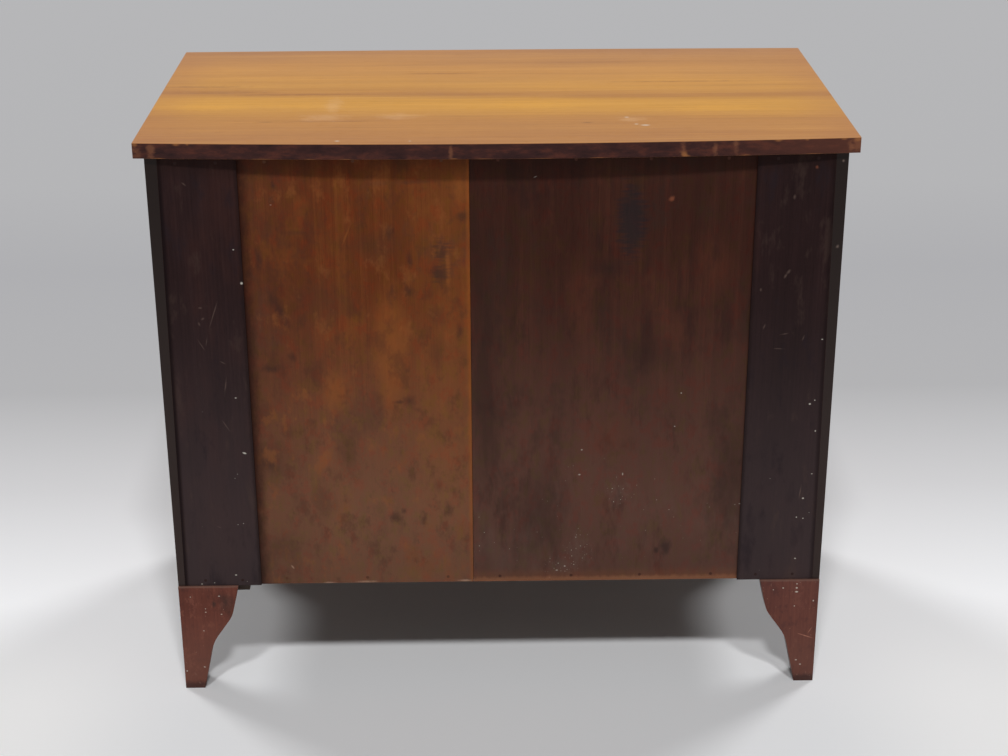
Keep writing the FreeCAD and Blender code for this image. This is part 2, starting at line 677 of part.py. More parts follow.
def at_pulls(name, thing, z):
    """A thing of the pull on both halves of a drawer front."""
    return [
        copied(name + "_left", thing, "pull_offset", "pull_y", z, "pull_turn"),
        copied(name + "_right", thing, "-pull_offset", "pull_y", z, "-pull_turn"),
    ]


def make_drawer(level, bows, pull):
    drawer = f"drawer_{level}"
    low = f"floor_{level} + run_gap"
    tall = f"opening_{level} - run_gap - reveal"
    high = f"floor_{level} + opening_{level} - reveal"
    inside = "drawer_half - drawer_side_thick"
    floor = f"{low} + bottom_lift + drawer_bottom_thick"
    grooved = f"{inside} + groove_depth"

    bottom_blank = box(drawer + "_bottom_blank", (f"-({grooved})", grooved), ("apex_y", "drawer_rear_y"),
                       (f"{low} + bottom_lift", floor))
    bottom = piece(common(drawer + "_bottom_cut", bottom_blank, bows["bow_groove"]), drawer + "_bottom")
    back = box(drawer + "_back_board", (f"-({grooved})", grooved),
               ("drawer_back_y - drawer_back_thick", "drawer_back_y"), (floor, f"{high} - back_drop"))
    piece(back, drawer + "_back")

    side_blank = box(drawer + "_side_blank", (inside, "drawer_half"), ("apex_y", "drawer_rear_y"),
                     (low, f"{high} - side_drop"))
    parts = [common(drawer + "_side_bowed", side_blank, bows["bow_inside"])]
    tails = round(value(f"opening_{level} / tail_pitch"))
    pitch = f"({tall} - side_drop) / {tails}"
    for number in range(tails):
        tail = doc.addObject("Part::Wedge", f"{drawer}_tail_{number + 1}")
        middle = f"{low} + {number + 0.5} * {pitch}"
        tip = f"{TAIL_TIP_SHARE / 2} * {pitch}"
        root = f"{TAIL_ROOT_SHARE / 2} * {pitch}"
        bind(tail, Xmin=inside, Xmax="drawer_half", X2min=inside, X2max="drawer_half",
             Ymin="tail_tip_y", Zmin=f"{middle} - {tip}", Zmax=f"{middle} + {tip}",
             Ymax="tail_root_y", Z2min=f"{middle} - {root}", Z2max=f"{middle} + {root}")
        parts.append(tail)
    tailed = fused(drawer + "_side_tailed", parts)
    side = piece(cut(drawer + "_side", tailed, together(drawer + "_side_slots", [bottom, back])),
                 drawer + "_side_left")
    far_side = piece(mirrored(drawer + "_side_far", side), drawer + "_side_right")

    ahead = "apex_y - bead_rise"
    blank = box(drawer + "_front_blank", ("-drawer_half", "drawer_half"), (ahead, "corner_y + front_thick"),
                (low, high))
    outside = common(drawer + "_front_round", blank, bows["bow_bead"])
    bowed = cut(drawer + "_front_bowed", outside, bows["bow_inside"])
    field = box(drawer + "_field", ("bead_width - drawer_half", "drawer_half - bead_width"),
                (f"{ahead} - bead_rise", "corner_y"), (f"{low} + bead_width", f"{high} - bead_width"))
    sunk = cut(drawer + "_front_sunk", bowed, cut(drawer + "_field_air", field, bows["bow_face"]))
    centre = f"{low} + ({tall}) / 2"
    drills = at_pulls(drawer + "_drills", pull["drills"], centre)
    taken = together(drawer + "_front_slots", [side, far_side, bottom] + drills)
    piece(cut(drawer + "_front_board", sunk, taken), drawer + "_front")

    piece(together(drawer + "_plate_pair", at_pulls(drawer + "_plate", pull["plates"], centre)),
          drawer + "_pull_plates")
    piece(together(drawer + "_post_set", at_pulls(drawer + "_posts", pull["posts"], centre)),
          drawer + "_pull_posts")
    left, right = at_pulls(drawer + "_bail_wire", pull["bail"], centre)
    piece(left, drawer + "_bail_left")
    piece(right, drawer + "_bail_right")


def check_document():
    wrong = [thing.Name for thing in doc.Objects if {"Invalid", "Error"} & set(thing.State)]
    wrong += [thing.Label for thing in PIECES if thing.Shape.isNull() or not thing.Shape.isValid()]
    wrong += [thing.Label for thing in PIECES if not thing.Shape.Solids]
    if wrong:
        raise RuntimeError("These did not build: " + ", ".join(wrong))


def write_pieces():
    os.makedirs("parts", exist_ok=True)
    for thing in PIECES:
        thing.Shape.exportStep(f"parts/{thing.Label}.step")


make_sheets()
bows = make_bows()
make_top()
stile = make_stile()
make_sides(bows, stile)
make_rails(bows)
make_back(stile, make_nails())
make_feet(bows)
pull = make_pull()
for level in LEVELS:
    make_drawer(level, bows, pull)
doc.recompute()
check_document()
write_pieces()
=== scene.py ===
import json
import math

import bpy
from mathutils import Matrix, Vector

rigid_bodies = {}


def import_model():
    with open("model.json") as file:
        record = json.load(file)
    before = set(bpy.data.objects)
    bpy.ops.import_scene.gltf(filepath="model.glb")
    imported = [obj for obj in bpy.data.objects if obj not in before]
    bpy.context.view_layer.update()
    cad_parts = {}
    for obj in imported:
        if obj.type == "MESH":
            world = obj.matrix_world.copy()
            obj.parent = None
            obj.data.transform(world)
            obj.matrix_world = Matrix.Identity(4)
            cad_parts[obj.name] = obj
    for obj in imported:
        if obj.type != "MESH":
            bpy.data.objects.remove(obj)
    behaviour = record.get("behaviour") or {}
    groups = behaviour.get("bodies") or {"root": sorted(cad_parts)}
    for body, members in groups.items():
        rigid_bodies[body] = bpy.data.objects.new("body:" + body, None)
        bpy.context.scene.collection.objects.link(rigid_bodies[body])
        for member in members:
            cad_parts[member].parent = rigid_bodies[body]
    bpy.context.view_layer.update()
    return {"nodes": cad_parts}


for leftover in list(bpy.data.objects):
    bpy.data.objects.remove(leftover)

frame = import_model()

MM = 0.001
X, Y, Z = 0, 1, 2

# Places on the back of the chest, metres. +X is on the left of the photograph, +Y towards the camera.
CASE_FOOT = 0.181
CASE_TOP = 0.862
STILE_INNER = 0.366
BOARD_JOINT = 0.040
# The faces of the stiles and boards are within 3 mm of this
BACK_FACE = 0.26
# A stile's outer edge leans in by 7 mm over the height of the case
STILE_LEAN = 0.007 / (CASE_TOP - CASE_FOOT)
# Where that edge would meet the floor
STILE_EDGE = 0.4849

# Where the camera stands and looks, metres and degrees
CAMERA_PLACE = Vector((0.03264, 2.79447, 1.59551))
CAMERA_PITCH = 22.961
CAMERA_YAW = -0.917
CAMERA_ROLL = -0.206
CAMERA_LENS = 66.87
CAMERA_SENSOR = 36.0

# Distant soft lamps: name, azimuth from +Y towards +X, elevation and breadth in degrees, and the level of
# light on a surface that faces them
LAMPS = [
    ("fill_left", 14, 55, 5, 0.286),
    ("fill_right", -14, 55, 5, 0.286),
    ("key_left", 135, 40, 16, 0.35),
    ("key_right", -135, 42, 16, 0.35),
]
LAMP_DISTANCE = 4.0
# Strength of the white world as a light, and as a background that is seen or mirrored
WORLD_LIGHT = 0.12
WORLD_SEEN = 0.465

# Small roundings of the edges
WOOD_EDGE = 0.9 * MM
METAL_EDGE = 0.3 * MM
EDGE_ANGLE = 40
WELD_DISTANCE = 0.01 * MM
METALS = ("brass", "iron")
# Nodes with nail holes keep their sharp edges
NAILED = (
    "back_board_light", "back_board_dark", "rear_stile_left", "rear_stile_right", "top_rear_rail",
    "bottom_board",
)

# Noises that every wood has: cells per metre across and along the grain, detail, roughness
WOOD_LAYERS = {
    "streak": (30.0, 0.8, 4.0, 0.55),
    "band": (190.0, 2.6, 3.0, 0.6),
    "cloud": (9.0, 3.0, 4.0, 0.6),
    "thread": (900.0, 12.0, 2.0, 0.5),
    "pore": (1300.0, 42.0, 1.0, 0.5),
    "ragged": (110.0, 60.0, 3.0, 0.65),
}
# Year rings lean a little off the grain, in radians, and are drawn out along it
RING_TILT = 0.02
RING_STRETCH = 0.06
# Rings that Blender's wave texture draws in a length of tau, at a scale of 1
RINGS_PER_TAU = 20
# How far one step of a seed moves the year rings and the noises
RING_STEP = 0.013
NOISE_STEP = (3.1, 1.7, 2.3)
# Where the dark, middle and light colour of a wood stand in its mixed layers
WOOD_STOPS = (0.1, 0.5, 0.9)
# Depth of the grain, metres
GRAIN_DEPTH = 0.0003
# A pore's colour, as a share of the darkest colour of its wood
PORE_SHADE = 0.35

# Half depth, millimetres, of a mark that goes right through a piece
DEEP = 1e6


def tone(red, green, blue):
    """A colour given as it looks on a screen, 0 to 255, as the linear colour a shader takes."""
    linear = []
    for part in (red, green, blue):
        part = part / 255
        linear.append(part / 12.92 if part <= 0.04045 else ((part + 0.055) / 1.055) ** 2.4)
    return (*linear, 1.0)


# Paint flecks and dust
FLECK = tone(214, 208, 196)
# What a mottle multiplies the linear colour of a back board by
WARMER = (1.16, 0.86, 0.84, 1.0)
GREENER = (0.94, 1.10, 0.80, 1.0)

# Marks on the back are ellipses: x, z, half width and half height in millimetres, turn in degrees.

# Stains, stains with a hatched edge, soft shades, pale chips and glowing places of the light back board
LIGHT_STAINS = [
    (343, 710, 8, 25, 0), (154, 748, 10, 17, 0), (317, 632, 12, 38, 25), (333, 539, 25, 10, 0),
    (301, 557, 10, 10, 0), (127, 705, 7, 18, 0), (128, 658, 11, 14, 0), (47, 771, 16, 12, 0),
    (316, 818, 7, 10, 0), (320, 796, 7, 9, 0), (132, 485, 14, 15, 0), (146, 484, 15, 5, 0),
    (346, 385, 13, 14, 0), (157, 292, 16, 15, 20), (144, 304, 7, 7, 0), (114, 288, 7, 17, 0),
    (76, 305, 10, 21, 0), (56, 593, 8, 22, 0),
]
LIGHT_HATCHED = [(81, 718, 19, 23, 0), (84, 686, 18, 21, 0)]
LIGHT_SHADES = [
    (86, 620, 22, 20, 0), (90, 563, 18, 40, 0), (283, 748, 56, 6, 0), (115, 822, 80, 5, 2),
    (181, 729, 70, 32, 0), (248, 646, 66, 50, 0), (283, 649, 16, 16, 0), (338, 399, 40, 56, 0),
    (312, 436, 18, 18, 0), (224, 395, 24, 60, 0), (336, 246, 32, 32, 0), (91, 347, 12, 20, 0),
    (265, 320, 26, 46, 0), (345, 470, 18, 30, 0),
]
LIGHT_CHIPS = [
    (317, 210, 2, 5, 35), (52, 183, 16, 2.4, 0), (205, 183, 24, 2, 0), (262, 182, 12, 1.8, 0),
    (321, 790, 2.4, 1.2, 0),
]
LIGHT_GLOW = [
    (361, 830, 7, 3, 10), (56, 812, 16, 50, 0), (216, 744, 3, 28, -22), (72, 690, 5, 60, 0),
    (240, 500, 40, 60, 0), (158, 565, 44, 120, 0),
]

# Knots, shades, glowing places, an orange scar, dusty places and flecks of the dark back board
KNOT_TOP = [(-191, 763, 29, 74, 0)]
KNOT_LOW = [(-254, 238, 13, 20, 0), (-240, 232, 5, 8, 0)]
DARK_SHADES = [
    (22, 520, 34, 330, 0), (-160, 690, 46, 24, 0), (-215, 560, 50, 46, 0), (-60, 300, 60, 120, 0),
    (-350, 370, 46, 160, 0),
]
DARK_GLOW = [(-120, 640, 26, 90, 0), (-310, 690, 40, 60, 0), (-160, 420, 50, 80, 0)]
DARK_ORANGE = [(-246, 794, 6.5, 5, 40)]
DARK_DUST = [(-95, 205, 34, 26, 0), (-120, 235, 26, 40, 0), (-180, 330, 22, 30, 0)]
DARK_FLECKS = [
    (-53, 828, 4, 1, 25), (-270, 494, 1.9, 1.6, 0), (-124, 403, 2.1, 1.6, 0), (-365, 310, 2.4, 1.3, 0),
    (-262, 440, 1.6, 1.3, 0), (-88, 199, 2.7, 1.9, 0), (-100, 206, 2.1, 1.6, 0), (-186, 362, 1.4, 3.2, 0),
    (-121, 362, 2.8, 2, 0),
]

# Flecks, an orange scar and scratches of the stiles
STILE_FLECKS = [
    (368, 674, 2.6, 2.6, 0), (377, 725, 1.6, 1.1, 0), (387, 495, 2.1, 1.4, 0), (379, 405, 4, 1.8, -20),
    (404, 199, 2.4, 1.4, 0), (457, 184, 1.9, 1.1, 0), (-461, 476, 2.1, 1.8, 0), (-468, 482, 1.4, 1.4, 0),
    (-473, 579, 1.8, 1.1, 0), (-472, 432, 1.3, 1.8, 0), (-471, 361, 1.9, 1.1, 0), (-460, 320, 2.1, 1.6, 0),
    (-452, 288, 1.6, 1.4, 0), (-462, 286, 1.6, 1.4, 0), (-454, 217, 1.8, 1.3, 0),
]
STILE_ORANGE = [(-449, 840, 3.2, 3.6, 0)]
STILE_SCRATCHES = [
    (441, 823, 5, 1.6, -40), (430, 637, 4, 2, 0), (411, 628, 1.2, 31, -19), (427, 620, 4, 2.4, 30),
    (433, 612, 2, 5, 20), (432, 579, 1.2, 13, 29), (402, 551, 7, 1.2, -28), (401, 514, 1.5, 20, -9),
    (424, 585, 1.2, 12, -10), (425, 282, 5, 1.2, -20), (404, 450, 1.4, 12, 30), (-387, 600, 1.6, 6, -20),
    (-417, 588, 8, 1.2, 10), (-445, 581, 1.4, 7, -20), (-410, 565, 10, 1, -4), (-379, 657, 2.2, 3.4, 0),
    (-420, 797, 3, 5, -10), (-455, 330, 1.4, 16, -6), (-418, 684, 3, 6, -40), (-414, 678, 2.2, 5, -30),
]
# Pale bruises on the rear edge of a case side
SIDE_BRUISES = [(-486, 849, 3, 3.4, 0), (-486, 722, 3.4, 4, 0)]

# Flecks, scratches and a stain of the rear feet
FOOT_FLECKS = [
    (476, 163, 1.5, 1, 0), (432, 164, 2, 0.9, 0), (454, 136, 1.7, 1, 0), (454, 142, 1.2, 0.8, 0),
    (459, 103, 1.5, 1, 0), (462, 38, 2.2, 1, -15), (490, 31, 1.5, 1, 0), (430, 132, 1.5, 0.9, 0),
    (-423, 164, 1.7, 1.2, 0), (-438, 167, 1.8, 1.4, 0), (-459, 174, 1.7, 1.2, 0), (-459, 167, 2, 1.5, 0),
    (-459, 160, 3.2, 1.4, 0), (-457, 135, 1.4, 1.2, 0), (-465, 38, 2.2, 1.2, 0), (-472, 30, 2.2, 1.4, 0),
    (-486, 144, 1.4, 2, 0),
]
FOOT_SCRATCHES = [(-476, 82, 17, 1.1, -20), (-484, 92, 9, 0.8, 60)]
FOOT_STAIN = [(422, 152, 18, 28, 0), (440, 150, 6, 8, 0)]

# Marks on the top are ellipses too: x, y, half width and half depth in millimetres.
TOP_HAZE = [(250, 140, 44, 30), (145, 136, 50, 22), (240, 70, 18, 60), (-195, 160, 30, 20)]
TOP_GLOW = [(437, 76, 110, 30), (290, 72, 120, 22), (-60, 80, 110, 22), (-320, 100, 100, 36)]
TOP_FLECKS = [(223, 265, 5, 3), (122, 268, 3, 2), (-189, 150, 5, 3), (-212, 194, 9, 4), (-200, 188, 4, 3)]
TOP_DASHES = [(-130, 178, 12, 4), (331, 162, 20, 3)]
TOP_STREAKS = [
    (455, -46, 90, 12), (430, -10, 120, 9), (300, 6, 160, 8), (250, 162, 120, 6), (80, -122, 90, 6),
    (-300, -60, 160, 5),
]
# Grain bands of the top from its front to its back: y in metres and colour
TOP_BANDS = [
    (-0.28, tone(168, 118, 83)), (-0.15, tone(194, 137, 75)), (-0.035, tone(206, 148, 66)),
    (0.013, tone(168, 112, 58)), (0.043, tone(214, 155, 58)), (0.09, tone(212, 153, 58)),
    (0.16, tone(177, 121, 67)), (0.30, tone(165, 110, 72)),
]
# How far the bands run askew for each metre of length, and how far they wander, metres
BAND_SKEW = 0.03
BAND_WANDER = 0.03
# Pale scars down the back edge of the top: x, half width and turn
EDGE_SCARS = [
    (503, 12, 10), (482, 8, -8), (65, 4, 0), (-258, 6, 4), (-303, 5, -6), (-332, 6, 4), (-493, 6, 6),
    (-503, 14, 8),
]
# Height of their middle over the floor and half their height, millimetres
SCAR_MIDDLE = 873
SCAR_HALF_HEIGHT = 17
# Chips along the two arrises of the back edge: x, z, half width and half height
EDGE_CHIPS = [
    (446, 883, 7, 3), (430, 883, 3, 2), (-260, 866, 6, 6), (330, 862, 22, 1.6), (260, 862, 12, 1.6),
    (210, 862, 16, 1.4), (60, 862, 10, 2), (20, 862, 18, 1.6), (-60, 862, 26, 1.4), (-140, 862, 16, 1.6),
    (-262, 863, 8, 3), (-345, 862, 10, 2), (-391, 883, 8, 3), (-431, 883, 4, 2), (-484, 884, 6, 4),
    (-503, 883, 8, 5), (504, 882, 6, 5), (470, 862, 14, 2), (-440, 862, 20, 1.4),
]

# Greys of the floor, painted shade that deepens beyond the chest, from far beyond it, as the camera looks,
# to under it: y in metres and colour
FLOOR_SHADE_BANDS = [
    (-2.4, tone(172, 172, 174)), (-1.68, tone(166, 166, 169)), (-0.912, tone(171, 171, 173)),
    (-0.432, tone(202, 202, 204)), (0.0, tone(233, 234, 236)),
]
# Painted light beside the chest towards the camera, and painted shade far away
FLOOR_PAINTED_LIGHT = tone(248, 248, 248)
FLOOR_FAR_SHADE = tone(172, 172, 174)
FLOOR_REACH = 80.0


class Graph:
    """The nodes of one material, added by short calls that return sockets."""

    def __init__(self, name):
        self.material = bpy.data.materials.new(name)
        self.material.use_nodes = True
        self.tree = self.material.node_tree
        self.shader = self.tree.nodes["Principled BSDF"]
        seat = self.tree.nodes.new("ShaderNodeTexCoord")
        self.place = seat.outputs["Object"]
        self.normal = seat.outputs["Normal"]
        self.colour = None
        self.rough = None
        # Filled in for woods: soft clouds, and the noise that frays the edges of marks
        self.cloud = None
        self.ragged = None

    def feed(self, socket, given):
        if isinstance(given, bpy.types.NodeSocket):
            self.tree.links.new(given, socket)
        else:
            socket.default_value = given

    def add(self, kind, inputs, **settings):
        node = self.tree.nodes.new(kind)
        for key, setting in settings.items():
            setattr(node, key, setting)
        for key, given in inputs.items():
            self.feed(node.inputs[key], given)
        return node

    def maths(self, operation, *given):
        node = self.add("ShaderNodeMath", dict(enumerate(given)), operation=operation)
        return node.outputs[0]

    def times(self, first, second):
        return self.maths("MULTIPLY", first, second)

    def magnitude(self, given):
        return self.maths("ABSOLUTE", given)

    def part(self, axis, vector=None):
        node = self.add("ShaderNodeSeparateXYZ", {0: self.place if vector is None else vector})
        return node.outputs[axis]

    def mapped(self, scale, offset=(0, 0, 0), turn=(0, 0, 0)):
        inputs = {"Vector": self.place, "Location": offset, "Rotation": turn, "Scale": scale}
        return self.add("ShaderNodeMapping", inputs).outputs[0]

    def noise(self, vector, detail=2.0, roughness=0.5):
        inputs = {"Vector": vector, "Scale": 1.0, "Detail": detail, "Roughness": roughness}
        return self.add("ShaderNodeTexNoise", inputs).outputs[0]

    def span(self, given, low, high, to_low=0.0, to_high=1.0):
        """Goes smoothly from to_low to to_high as a value goes from low to high."""
        inputs = {"Value": given, "From Min": low, "From Max": high, "To Min": to_low, "To Max": to_high}
        return self.add("ShaderNodeMapRange", inputs, interpolation_type="SMOOTHSTEP").outputs[0]

    def total(self, start, parts):
        """start plus each part's departure from a half, times its weight."""
        for socket, weight in parts:
            start = self.maths("MULTIPLY_ADD", self.maths("SUBTRACT", socket, 0.5), weight, start)
        return start

    def ramp(self, given, stops):
        node = self.add("ShaderNodeValToRGB", {0: given})
        marks = node.color_ramp.elements
        while len(marks) < len(stops):
            marks.new(0.5)
        for mark, (position, colour) in zip(marks, stops):
            mark.position = position
            mark.color = colour
        return node.outputs[0]

    def banded(self, given, bands):
        """The colour of a list of bands, each with its place, where a value stands among them."""
        first, last = bands[0][0], bands[-1][0]
        inputs = {"Value": given, "From Min": first, "From Max": last}
        place = self.add("ShaderNodeMapRange", inputs).outputs[0]
        return self.ramp(place, [((at - first) / (last - first), colour) for at, colour in bands])

    def mix(self, share, first, second, blend="MIX"):
        inputs = {0: share, 6: first, 7: second}
        node = self.add("ShaderNodeMix", inputs, data_type="RGBA", blend_type=blend)
        return node.outputs[2]

    def tint(self, share, colour, blend="MIX"):
        """Lays a colour over what the material has so far."""
        self.colour = self.mix(share, self.colour, colour, blend)

    def wash(self, given, low, high, share, colour, blend="MIX"):
        """Lays a colour on, up to a share, as a value goes from low to high."""
        self.tint(self.span(given, low, high, 0.0, share), colour, blend)

    def facing(self, axis, sign=1):
        """1 where the surface faces along the axis, or against it for a sign of -1."""
        return self.span(self.times(self.part(axis, self.normal), sign), 0.5, 0.8)

    def reach(self, at, size, turn=0):
        """Distance from a place in millimetres, as a share of the size of an ellipse there."""
        inputs = {
            "Vector": self.place,
            "Location": [v * MM for v in at],
            "Rotation": (0, math.radians(turn), 0),
            "Scale": [v * MM for v in size],
        }
        local = self.add("ShaderNodeMapping", inputs, vector_type="TEXTURE").outputs[0]
        return self.add("ShaderNodeVectorMath", {0: local}, operation="LENGTH").outputs["Value"]

    def on_back(self, spots):
        return [self.reach((x, 0, z), (wide, DEEP, high), turn) for x, z, wide, high, turn in spots]

    def on_top(self, spots):
        return [self.reach((x, y, 0), (wide, deep, DEEP)) for x, y, wide, deep in spots]

    def inside(self, reach, rag, core, edge=None):
        """1 up to the core's share of a reach, falling to 0 at an edge that a noise makes ragged."""
        frayed = self.total(reach, [(self.ragged if edge is None else edge, rag)])
        return self.span(frayed, core, 1.0, 1.0, 0.0)

    def marked(self, reaches, colour, share, rag, core, edge=None):
        """Lays a colour over the ellipses with these reaches, and returns where they are."""
        nearest = reaches[0]
        for reach in reaches[1:]:
            nearest = self.maths("MINIMUM", nearest, reach)
        mask = self.inside(nearest, rag, core, edge)
        self.tint(self.times(mask, share), colour)
        return mask

    def dusted(self, region, density, colour, cells_per_metre):
        """Small flecks where region is 1, in about the given share of the cells."""
        cells = self.add("ShaderNodeTexVoronoi", {"Vector": self.place, "Scale": cells_per_metre})
        fleck = self.span(cells.outputs["Distance"], 0.10, 0.24, 1.0, 0.0)
        pick = self.part(X, cells.outputs["Color"])
        chosen = self.span(pick, 1.0 - density, 1.0 - density * 0.8)
        self.tint(self.times(self.times(fleck, chosen), region), colour)

    def finished(self):
        """Joins the colour and the roughness to the shader."""
        self.feed(self.shader.inputs["Base Color"], self.colour)
        self.feed(self.shader.inputs["Roughness"], self.rough)
        return self.material


def wood(name, along, colours, ring=0.005, rings=0.2, streaks=0.5, bands=0.3, clouds=0.4, fibre=0.25,
         pores=0.35, rough=0.5, shine=0.5, seed=0.0, pith=(0.03, 0.02, -0.25)):
    """Wood with its grain along one axis, in a dark, a middle and a light colour.

    ring is the width of a year ring in metres, and rings to pores are the strengths of the layers.
    seed moves all the layers, and pith, in metres, the middle of the year rings.
    """
    g = Graph(name)
    tilt = [RING_TILT] * 3
    tilt[along] = 0.0
    stretch = [1.0] * 3
    stretch[along] = RING_STRETCH
    heart = [p + seed * RING_STEP for p in pith]
    wave = {
        "Vector": g.mapped(stretch, heart, tilt),
        "Scale": math.tau / (RINGS_PER_TAU * ring),
        "Distortion": 5.0,
        "Detail": 3.0,
        "Detail Scale": 0.35,
        "Detail Roughness": 0.6,
    }
    year = g.add("ShaderNodeTexWave", wave, wave_type="RINGS", wave_profile="SAW",
                 rings_direction="XYZ"[along]).outputs["Fac"]

    def layer(key):
        across, run, detail, roughness = WOOD_LAYERS[key]
        scale = [across] * 3
        scale[along] = run
        return g.noise(g.mapped(scale, [seed * step for step in NOISE_STEP]), detail, roughness)

    g.cloud, g.ragged, thread = layer("cloud"), layer("ragged"), layer("thread")
    pore = g.span(layer("pore"), 0.60, 0.72)
    parts = [(year, rings), (layer("streak"), streaks), (layer("band"), bands)]
    parts += [(g.cloud, clouds), (thread, fibre)]
    g.colour = g.ramp(g.total(0.5, parts), list(zip(WOOD_STOPS, colours)))
    g.tint(g.times(pore, pores), (*[c * PORE_SHADE for c in colours[0][:3]], 1.0))
    height = g.total(0.5, [(thread, 0.5), (year, 0.2), (pore, -0.6)])
    bump = {"Height": height, "Strength": 0.35, "Distance": GRAIN_DEPTH}
    g.feed(g.shader.inputs["Normal"], g.add("ShaderNodeBump", bump).outputs[0])
    g.rough = g.total(rough, [(g.cloud, 0.18), (thread, 0.08), (pore, 0.1)])
    g.shader.inputs["Specular IOR Level"].default_value = shine
    return g


def shaded_under_top(g, z):
    """Painted shade that thickens towards the underside of the top, where it overhangs the back."""
    g.wash(g.total(z, [(g.cloud, 0.012)]), CASE_TOP - 0.040, CASE_TOP - 0.004, 0.5, tone(34, 20, 16))


def soiled(g, z):
    """A little dirt towards the lower edge of a back board."""
    g.wash(z, 0.31, 0.20, 0.16, tone(58, 46, 43))


def mottled(g, hue):
    """Warmer and greener places on a back board."""
    g.wash(hue, 0.51, 0.64, 0.7, WARMER, "MULTIPLY")
    g.wash(hue, 0.49, 0.36, 0.7, GREENER, "MULTIPLY")


def top_wood():
    """Honey brown top with a dark streak, glowing bands, haze and flecks."""
    honey = (tone(138, 80, 30), tone(192, 134, 62), tone(222, 164, 84))
    g = wood("top_wood", X, honey, ring=0.012, rings=0.08, streaks=0.55, bands=0.4, clouds=0.7, fibre=0.3,
             pores=0.3, rough=0.4, shine=0.1, pith=(0.0, 0.22, -1.0))
    x, y = g.part(X), g.part(Y)
    wander = g.noise(g.mapped((2.2, 14, 14)), 3.0)
    across = g.total(g.maths("MULTIPLY_ADD", x, BAND_SKEW, y), [(wander, BAND_WANDER)])
    g.tint(0.62, g.banded(across, TOP_BANDS))
    grain = g.noise(g.mapped((3.0, 75, 75)), 4.0, 0.7)
    g.wash(grain, 0.50, 0.72, 0.20, tone(150, 96, 48))
    g.wash(grain, 0.48, 0.28, 0.16, tone(226, 170, 88))
    g.marked(g.on_top(TOP_GLOW), tone(224, 162, 58), 0.3, 1.6, 0.0)
    g.marked(g.on_top(TOP_STREAKS), tone(146, 94, 48), 0.5, 1.6, 0.0)
    # Duller towards both ends
    g.wash(g.magnitude(g.total(x, [(wander, 0.06)])), 0.42, 0.52, 0.3, tone(170, 112, 70))
    g.marked(g.on_top(TOP_HAZE), tone(222, 178, 136), 0.27, 1.8, 0.0)
    g.marked(g.on_top(TOP_DASHES), tone(104, 66, 38), 0.5, 0.6, 0.2)
    g.marked(g.on_top(TOP_FLECKS), FLECK, 0.7, 0.6, 0.2)
    dress_edges(g)
    return g.finished()


def dress_edges(g):
    """Deeper brown ends and front edge of the top, and a dark back edge with scars and chips."""
    ends = g.maths("MAXIMUM", g.facing(X), g.facing(X, -1))
    g.tint(g.times(ends, 0.7), tone(132, 84, 46))
    g.tint(g.times(g.facing(Y, -1), 0.5), tone(140, 88, 44))
    back = g.facing(Y)
    smear = g.noise(g.mapped((34, 34, 90)), 4.0, 0.65)
    browns = [(0.3, tone(45, 26, 26)), (0.5, tone(62, 35, 32)), (0.72, tone(91, 49, 38))]
    g.tint(back, g.ramp(smear, browns))
    g.tint(g.times(back, g.span(g.part(X), -0.25, -0.5, 0.0, 0.35)), tone(112, 64, 46))
    unmarked = g.colour
    for x, wide, turn in EDGE_SCARS:
        reach = g.reach((x, 0, SCAR_MIDDLE), (wide, DEEP, SCAR_HALF_HEIGHT), turn)
        g.marked([reach], tone(138, 88, 62), 0.5, 2.6, 0.0)
    for x, z, wide, high in EDGE_CHIPS:
        g.marked([g.reach((x, 0, z), (wide, DEEP, high))], tone(160, 104, 60), 0.6, 1.0, 0.2)
    g.colour = g.mix(back, unmarked, g.colour)


def case_wood():
    """Brown sides, with rear edges that are nearly black and paler towards the foot."""
    brown = (tone(74, 34, 18), tone(112, 58, 30), tone(138, 78, 42))
    g = wood("case_wood", Z, brown, ring=0.011, rings=0.1, streaks=0.75, bands=0.45, clouds=0.5, rough=0.4,
             shine=0.14)
    side = g.colour
    g.colour = g.mix(g.span(g.part(Z), 0.84, 0.2), tone(33, 23, 20), tone(53, 41, 38))
    g.wash(g.cloud, 0.45, 0.65, 0.3, tone(30, 21, 19))
    g.marked(g.on_back(SIDE_BRUISES), tone(138, 118, 108), 0.55, 1.2, 0.0)
    g.colour = g.mix(g.facing(Y), side, g.colour)
    return g.finished()


